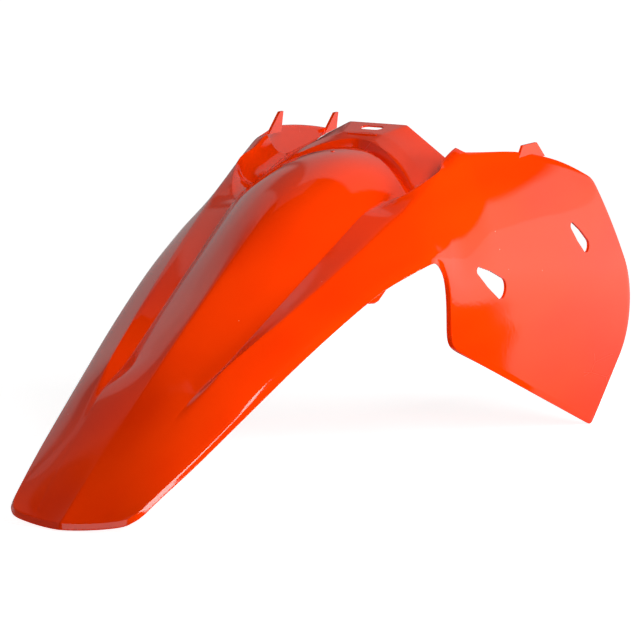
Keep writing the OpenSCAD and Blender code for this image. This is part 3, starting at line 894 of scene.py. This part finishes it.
def add_tab(name, x, y, z, root, tip, height, lean):
    """A web whose root is sunk into the wall and whose tip leans to the front or the rear."""
    outline = [point(-root / 2, -ROOTED), point(root / 2, -ROOTED),
               point(lean + tip / 2, height), point(lean - tip / 2, height)]
    join_in.append(pull_cutter(name, outline, lambda p: point(x, y + p[0], z + p[1]), (WALL, 0, 0)))


for hook_y in HOOKS_Y:
    add_tab("hook", -SHOULDER_HALF, hook_y, top_z(hook_y, False), *HOOK_FORM)
add_tab("tab", top_x(TAB_Y, True) - WALL, TAB_Y, top_z(TAB_Y, True), *TAB_FORM)
print("tabs:", len(join_in))

# %% [markdown]
# ## Lugs
# A small lug hangs from the lip on each side, where a side piece hooks in. It lies in
# the plane that the lip and the edge span, so its outline is pulled square to that
# plane. It is a little thinner than the lip, which keeps the two from sharing a face.

# %% Lugs under the lips
LUG_Y, LUG_DEEP, LUG_INSET = 388, LIP + 5, 0.3
LUG_OUTLINE = [(-14, -2), (-13, -LIP - 1), (-6, 0.4 - LUG_DEEP), (-2, -LUG_DEEP), (15, -LIP - 0.8), (20, -2)]


def add_lug(side):
    foot = point(edge_x(LUG_Y), LUG_Y, edge_z(LUG_Y))
    ahead = point(edge_x(LUG_Y + 1), LUG_Y + 1, edge_z(LUG_Y + 1)) - foot
    up = point(-math.sin(FLARE), 0, math.cos(FLARE))
    out = unit(np.cross(ahead, up))
    turn = point(side, 1, 1)
    foot = foot - (WALL - LUG_INSET) * out
    join_in.append(pull_cutter("lug", LUG_OUTLINE, lambda p: turn * (foot + p[0] * ahead + p[1] * up),
                               turn * out * (WALL - 2 * LUG_INSET)))


add_lug(1)
add_lug(-1)
print("lugs hang", LUG_DEEP, "mm down the lip's plane")

# %% [markdown]
# ## Stop rib and gate mark
# A low rib behind the slot stops the seat's bracket, and a round stub on the dome's top
# is left where the plastic came into the mould. Both are under two millimetres high. A
# bump in the material could feign them, but real edges catch the light from any side.

# %% Stop rib
RIB_W, RIB_H = 33.0, 1.8
RIB_BEHIND, RIB_THICK, RIB_CHAMFER, RIB_ROOTED = 15.5, 3.0, 0.3, 2.0


def add_stop_rib():
    rib_y = SLOT_Y - SLOT_LEN / 2 - RIB_BEHIND
    t = (rib_y - rim_edge(0)[1]) / (FLANGE_Y - rim_edge(0)[1])
    base = flange_at(0, t)[2] - RIB_ROOTED
    top, c = RIB_ROOTED + RIB_H, RIB_CHAMFER
    outline = [point(0, 0), point(RIB_THICK, 0), point(RIB_THICK - c, top - c), point(RIB_THICK - 2 * c, top),
               point(2 * c, top), point(c, top - c)]
    join_in.append(pull_cutter("stop_rib", outline, lambda p: point(-RIB_W / 2, rib_y + p[0], base + p[1]),
                               (RIB_W, 0, 0)))


add_stop_rib()
print("stop rib:", RIB_W, "mm wide")

# %% Gate mark
GATE_Y, GATE_R, GATE_H, GATE_ROOTED, GATE_STEPS = 536.0, 2.2, 0.35, 1.5, 24


def add_gate_mark():
    turns = np.linspace(0, 2 * math.pi, GATE_STEPS, endpoint=False)
    outline = [GATE_R * point(math.cos(a), math.sin(a)) for a in turns]
    low = crest_z(GATE_Y) - GATE_ROOTED
    join_in.append(pull_cutter("gate_mark", outline, lambda p: point(p[0], GATE_Y + p[1], low),
                               (0, 0, GATE_ROOTED + GATE_H)))


add_gate_mark()
print("gate mark:", 2 * GATE_R, "mm across")

# %% Join them in and shade
SMOOTH_BELOW = 35
select_only(fender)
for web in join_in:
    web.select_set(True)
bpy.ops.object.join()
bpy.ops.object.shade_smooth_by_angle(angle=math.radians(SMOOTH_BELOW))
print("moulding:", len(fender.data.polygons), "faces with its tabs, lugs, rib and gate mark")

# %% [markdown]
# ## Gloss plastic
# The plastic is coloured through and comes out of a polished mould, so what the eye
# reads is its skin: a fine orange peel, a slow waviness where the wall cooled unevenly,
# faint swirls of pigment, a few smears and hairline scratches from handling, and some
# dust. Painted images could give all this, but they need a map of the surface and show
# its seams. Here each is a pattern in the object's own coordinates, and they meet in the
# colour, the roughness and the bump.

# %% Short calls for the nodes


def set_inputs(node, **values):
    """Set a node's sockets by name, with _ for a space."""
    for name, value in values.items():
        node.inputs[name.replace("_", " ")].default_value = value


class Tree:
    """The nodes and links of one material or world, with a short call for each kind of node."""

    def __init__(self, owner):
        owner.use_nodes = True
        self.nodes, self.links = owner.node_tree.nodes, owner.node_tree.links

    def add(self, kind):
        return self.nodes.new("ShaderNode" + kind)

    def link(self, source, socket):
        self.links.new(source, socket)

    def ramp(self, source, span, levels, soft=False):
        """Levels that follow the source across a span, and stay level outside it."""
        step = self.add("MapRange")
        step.interpolation_type = "SMOOTHSTEP" if soft else "LINEAR"
        set_inputs(step, From_Min=span[0], From_Max=span[1], To_Min=levels[0], To_Max=levels[1])
        self.link(source, step.inputs["Value"])
        return step.outputs["Result"]

    def calc(self, operation, a, b=None):
        node = self.add("Math")
        node.operation = operation
        for socket, value in zip(node.inputs, (a, b)):
            if isinstance(value, (int, float)):
                socket.default_value = value
            elif value is not None:
                self.link(value, socket)
        return node.outputs[0]

    def vector(self, operation, source, vector, output="Vector"):
        node = self.add("VectorMath")
        node.operation = operation
        self.link(source, node.inputs[0])
        node.inputs[1].default_value = vector
        return node.outputs[output]

    def noise(self, source, scale, detail=0.0):
        node = self.add("TexNoise")
        set_inputs(node, Scale=scale, Detail=detail)
        self.link(source, node.inputs["Vector"])
        return node.outputs["Fac"]

    def cells(self, source, scale, feature):
        node = self.add("TexVoronoi")
        node.feature = feature
        set_inputs(node, Scale=scale)
        self.link(source, node.inputs["Vector"])
        return node.outputs["Distance"]

    def mix(self, share, first, second):
        """A mix of two colours, of which the first may be another node's output."""
        node = self.add("Mix")
        node.data_type = "RGBA"
        self.link(share, node.inputs["Factor"])
        a, b = (s for s in node.inputs if s.type == "RGBA")
        b.default_value = second
        if isinstance(first, tuple):
            a.default_value = first
        else:
            self.link(first, a)
        return next(s for s in node.outputs if s.type == "RGBA")


print("calls:", ", ".join(name for name in vars(Tree) if not name.startswith("_")))

# %% Hairline scratches and dust
# Each family of hairlines: how its cells are stretched, and the scale of the spots that keep it
HAIR_FAMILIES = (((60, 7, 25), 5.0), ((9, 50, 40), 7.0))
HAIR_EDGE, HAIR_SPOTS = (0.004, 0.012), (0.6, 0.68)
DUST_SCALE, DUST_SIZE, DUST_SPOT_SCALE, DUST_SPOTS = 70, (0.03, 0.05), 24, (0.62, 0.66)


def hairlines(tree, place):
    """Thin edges of long cells, kept only in a few places."""
    hairs = None
    for stretch, spot_scale in HAIR_FAMILIES:
        edge = tree.cells(tree.vector("MULTIPLY", place, stretch), 1.0, "DISTANCE_TO_EDGE")
        kept = tree.ramp(tree.noise(place, spot_scale, 1), HAIR_SPOTS, (0, 1))
        line = tree.calc("MULTIPLY", tree.ramp(edge, HAIR_EDGE, (1, 0)), kept)
        hairs = line if hairs is None else tree.calc("MAXIMUM", hairs, line)
    return hairs


def dust(tree, place):
    """Small round specks, in the cells that a slow noise picks."""
    speck = tree.ramp(tree.cells(place, DUST_SCALE, "F1"), DUST_SIZE, (1, 0))
    return tree.calc("MULTIPLY", speck, tree.ramp(tree.noise(place, DUST_SPOT_SCALE, 1), DUST_SPOTS, (0, 1)))


print("a dust speck is", round(2 * DUST_SIZE[1] / DUST_SCALE / MM, 1), "mm across")

# %% Plastic
PLASTIC_COLOR, PIGMENT_COLOR = (1.0, 0.045, 0.0003, 1), (0.94, 0.036, 0.0002, 1)
DUST_COLOR = (0.86, 0.5, 0.36, 1)
PLASTIC_IOR, POLISHED, SMEARED, HAIR_ROUGH, DUST_ROUGH = 1.5, 0.05, 0.1, 0.2, 0.5
SMEAR_SCALE, SWIRL_SCALE, WAVE_SCALE, PEEL_SCALE = 11, 16, 13, 260
# Noise levels between which a smear or a swirl comes in, and how the swirls are drawn out
SMEAR_SPAN, SWIRL_SPAN, SWIRL_STRETCH = (0.45, 0.75), (0.4, 0.7), (1.0, 0.35, 1.0)
# Depth of the orange peel in metres, and how many times as deep the slow waviness is
PEEL_DEPTH, WAVE_TIMES = 0.000015, 10


def make_plastic():
    material = bpy.data.materials.new("gloss_orange_plastic")
    tree = Tree(material)
    shader = tree.nodes["Principled BSDF"]
    set_inputs(shader, IOR=PLASTIC_IOR)
    place = tree.add("TexCoord").outputs["Object"]
    hairs, specks = hairlines(tree, place), dust(tree, place)

    # Pigment swirls, drawn out along the fender as the plastic flowed
    swirl = tree.noise(tree.vector("MULTIPLY", place, SWIRL_STRETCH), SWIRL_SCALE, 1)
    color = tree.mix(tree.ramp(swirl, SWIRL_SPAN, (0, 1)), PLASTIC_COLOR, PIGMENT_COLOR)
    tree.link(tree.mix(specks, color, DUST_COLOR), shader.inputs["Base Color"])

    # Smears of handling make the gloss softer here and there
    rough = tree.ramp(tree.noise(place, SMEAR_SCALE, 2), SMEAR_SPAN, (POLISHED, SMEARED), soft=True)
    rough = tree.calc("ADD", rough, tree.calc("MULTIPLY", hairs, HAIR_ROUGH))
    rough = tree.calc("ADD", rough, tree.calc("MULTIPLY", specks, DUST_ROUGH))
    tree.link(rough, shader.inputs["Roughness"])

    # A slow waviness and the fine orange peel on top of it
    wave = tree.calc("MULTIPLY", tree.noise(place, WAVE_SCALE), WAVE_TIMES)
    bump = tree.add("Bump")
    set_inputs(bump, Strength=1.0, Distance=PEEL_DEPTH)
    tree.link(tree.calc("ADD", wave, tree.noise(place, PEEL_SCALE)), bump.inputs["Height"])
    tree.link(bump.outputs["Normal"], shader.inputs["Normal"])
    print("plastic:", len(tree.nodes), "nodes")
    return material


plastic = make_plastic()

# %% Dress the moulding
fender.data.materials.clear()
fender.data.materials.append(plastic)
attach(fender, "root")
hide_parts("rear_fender")
print("the moulding wears", fender.data.materials[0].name)

# %% [markdown]
# ## The floor and what the panel mirrors
# Gloss plastic shows its colour only where it mirrors something dark, so this studio is
# planned by its reflections. The side panel mirrors the floor's glow, which only the gloss
# sees: pale far away, greyer close by as painted shade, and dark in a painted shadow on
# the floor, which leaves the saturated patch at the panel's rear. The camera sees a white
# floor that still holds the fender's shadow. Two separate floors could do it, but one
# material that asks which ray looks at it can't cast a false edge.

# %% Painted shadow on the floor, seen only in the gloss
# The painted shadow, a dark patch in the floor's glow for the gloss, lies ahead of the fender
# on its right: where its edges are along and across the mirrored view, how soft they are and
# how far they wander
SHADOW_HEADING, SHADOW_END, SHADOW_SIDE = 150.8, 1.12, 0.105
SHADOW_END_SOFT, SHADOW_SIDE_SOFT, SHADOW_END_WOBBLE, SHADOW_SIDE_WOBBLE = 0.03, 0.004, 0.3, 0.05
WOBBLE_SCALE = 3.0


def painted_shadow_share(tree, place):
    """1 in the painted shadow: everything to the right of its side edge and short of its far edge."""
    heading = math.radians(SHADOW_HEADING)
    forward = (math.sin(heading), -math.cos(heading), 0)
    wobble = tree.calc("SUBTRACT", tree.noise(place, WOBBLE_SCALE, 1), 0.5)
    across = tree.vector("DOT_PRODUCT", place, (forward[1], -forward[0], 0), "Value")
    across = tree.calc("ADD", across, tree.calc("MULTIPLY", wobble, SHADOW_SIDE_WOBBLE))
    ahead = tree.vector("DOT_PRODUCT", place, forward, "Value")
    ahead = tree.calc("ADD", ahead, tree.calc("MULTIPLY", wobble, SHADOW_END_WOBBLE))
    side_span = (SHADOW_SIDE - SHADOW_SIDE_SOFT, SHADOW_SIDE + SHADOW_SIDE_SOFT)
    end_span = (SHADOW_END + SHADOW_END_SOFT, SHADOW_END - SHADOW_END_SOFT)
    right_of_side = tree.ramp(across, side_span, (0, 1), soft=True)
    return tree.calc("MULTIPLY", right_of_side, tree.ramp(ahead, end_span, (0, 1), soft=True))


print("the painted shadow ends", SHADOW_END, "m ahead and starts", SHADOW_SIDE, "m to the right")

# %% Floor
FLOOR_GREY, FLOOR_RADIUS, FLOOR_GAP = 0.8, 60, 0.5
# Glow of the floor near the fender and far from it, as the camera sees it, and the two distances
GLOW_LEVELS, GLOW_SPAN = (0.84, 1.0), (0.5, 2.5)
# The same as the gloss mirrors it, greyer near the fender as painted shade
MIRROR_LEVELS, MIRROR_SPAN = (0.35, 1.0), (0.35, 1.5)


def make_floor():
    low = cad_box[0][2] - FLOOR_GAP * MM
    bpy.ops.mesh.primitive_circle_add(vertices=64, radius=FLOOR_RADIUS, fill_type="NGON",
                                      location=(0, 0, low))
    floor = bpy.context.object
    floor.name = "studio_floor"
    material = bpy.data.materials.new("pale_floor")
    tree = Tree(material)
    shader = tree.nodes["Principled BSDF"]
    set_inputs(shader, Base_Color=(FLOOR_GREY, FLOOR_GREY, FLOOR_GREY, 1), Roughness=1.0,
               Specular_IOR_Level=0.0, Emission_Color=(1, 1, 1, 1))
    place = tree.add("TexCoord").outputs["Object"]
    reach = tree.vector("LENGTH", place, (0, 0, 0), "Value")
    # Seen by the camera the floor glows to white and keeps its shadows; the gloss mirrors its own level
    ray = tree.add("LightPath")
    seen = tree.calc("MULTIPLY", ray.outputs["Is Camera Ray"], tree.ramp(reach, GLOW_SPAN, GLOW_LEVELS))
    tree.link(seen, shader.inputs["Emission Strength"])
    # Painted shadow: the floor's glow as the gloss sees it drops to nothing where the painted shadow lies
    unshaded = tree.calc("SUBTRACT", 1, painted_shadow_share(tree, place))
    mirrored = tree.add("Emission")
    tree.link(tree.calc("MULTIPLY", tree.ramp(reach, MIRROR_SPAN, MIRROR_LEVELS), unshaded),
              mirrored.inputs["Strength"])
    either = tree.add("MixShader")
    indirect = tree.calc("ADD", ray.outputs["Is Glossy Ray"], ray.outputs["Is Transmission Ray"])
    tree.link(indirect, either.inputs[0])
    tree.link(shader.outputs[0], either.inputs[1])
    tree.link(mirrored.outputs[0], either.inputs[2])
    tree.link(either.outputs[0], tree.nodes["Material Output"].inputs["Surface"])
    floor.data.materials.append(material)
    print("floor at", round(low / MM, 1), "mm")


make_floor()

# %% [markdown]
# ## The walls that the blade mirrors
# The ceiling is dark, so the dome and the shoulders show their full orange. A grey wall
# ahead puts the pale veil on the dome's front and along the blade's far side, which
# mirrors it at a grazing angle. A screen and a few strips on the left give the dull red
# of the bevel and the left flank. Large cards around the fender would do the same, but
# as patches of the world they have no thickness, no shadow and two angles each.

# %% World
CEILING_GREY = 0.004
# Each patch: its azimuths and their soft edge, its elevations and their soft edges, its brightness
WALL_AHEAD = ((162, 217), 4, (9, 56), (16, 3), 0.42)
GREY_SCREEN = ((204, 228), 3, (45, 67), (12, 2), 0.14)
WALL_LEFT = ((214, 252), 4, (-5, 57), (10, 3), 0.15)
LEFT_STRIP = ((229, 239), 3, (-5, 55), (10, 5), 0.4)
LEFT_LOW = ((218, 236), 4, (-5, 30), (10, 12), 0.45)
FAR_LEFT = ((245, 290), 12, (-5, 50), (10, 20), 0.08)
LOW_STRIP = ((139, 170), 3, (-90, 8), (4, 3), 0.75)


def patch_level(tree, azimuth, height, patch):
    """Brightness of one patch: soft steps in azimuth and elevation, multiplied."""
    (left, right), side_edge, (low, high), (low_edge, high_edge), bright = patch
    product = None
    for angle, side, edge, source in ((left, 1, side_edge, azimuth), (right, -1, side_edge, azimuth),
                                      (low, 1, low_edge, height), (high, -1, high_edge, height)):
        span = (angle - side * edge / 2, angle + side * edge / 2)
        step = tree.ramp(source, span, (0, bright if product is None else 1), soft=True)
        product = step if product is None else tree.calc("MULTIPLY", product, step)
    return product


def make_world():
    world = bpy.data.worlds.new("studio")
    bpy.context.scene.world = world
    tree = Tree(world)
    # Turned so that azimuth 180, straight ahead of the fender, is the middle of the range
    turned = tree.vector("MULTIPLY", tree.add("TexCoord").outputs["Generated"], (-1, 1, 1))
    parts = tree.add("SeparateXYZ")
    tree.link(turned, parts.inputs[0])
    to_degrees = 180 / math.pi
    from_ahead = tree.calc("ARCTAN2", parts.outputs["X"], parts.outputs["Y"])
    azimuth = tree.calc("ADD", tree.calc("MULTIPLY", from_ahead, to_degrees), 180)
    height = tree.calc("MULTIPLY", tree.calc("ARCSINE", parts.outputs["Z"]), to_degrees)
    total = None
    for patch in (WALL_AHEAD, GREY_SCREEN, WALL_LEFT, LEFT_STRIP, LEFT_LOW, FAR_LEFT, LOW_STRIP):
        level = patch_level(tree, azimuth, height, patch)
        if total is None:
            total = tree.calc("ADD", level, CEILING_GREY)
        else:
            total = tree.calc("MAXIMUM", level, total)
    background = tree.nodes["Background"]
    set_inputs(background, Strength=1.0)
    tree.link(total, background.inputs["Color"])
    print("world:", len(tree.nodes), "nodes")


make_world()

# %% [markdown]
# ## The lamps
# The strongest lamps stand on the camera's right, where few surfaces mirror them, and
# close to the side panel, so that the light falls off towards the tail as it does in a
# small studio. The fill is near the camera. The one on the left is as large as a wall,
# because a small one would show in the groove as a bright spot.

# %% Lamps
# Each lamp: its azimuth, elevation, distance and size, and its share. Share 1 lights a facing
# surface as white light of strength 1 does.
LAMPS = {
    "key_lamp": (100, 8, 1.3, 0.6, 0.75),
    "right_lamp": (72, 44, 1.3, 0.6, 0.66),
    "fill_lamp": (12, 12, 2.2, 1.2, 0.15),
    "left_lamp": (-75, 10, 2.4, 3.0, 0.07),
}


def add_lamp(name, azimuth, elevation, distance, size, share):
    """A square lamp that aims at the fender."""
    direction = towards(azimuth, elevation)
    bpy.ops.object.light_add(type="AREA", location=CAMERA_TARGET + direction * distance)
    lamp = bpy.context.object
    lamp.name = name
    lamp.data.shape = "SQUARE"
    lamp.data.size = size
    lamp.data.energy = share * math.pi**2 * distance**2
    lamp.rotation_mode = "QUATERNION"
    lamp.rotation_quaternion = (-direction).to_track_quat("-Z", "Y")


for lamp_name, settings in LAMPS.items():
    add_lamp(lamp_name, *settings)
print("lamps:", ", ".join(LAMPS))
bpy.context.scene.view_settings.view_transform = "Standard"

# %% [markdown]
# ## Sizes
# The dressed fender has to stay the size of the solid model. The solid's box is printed
# when the model is loaded.
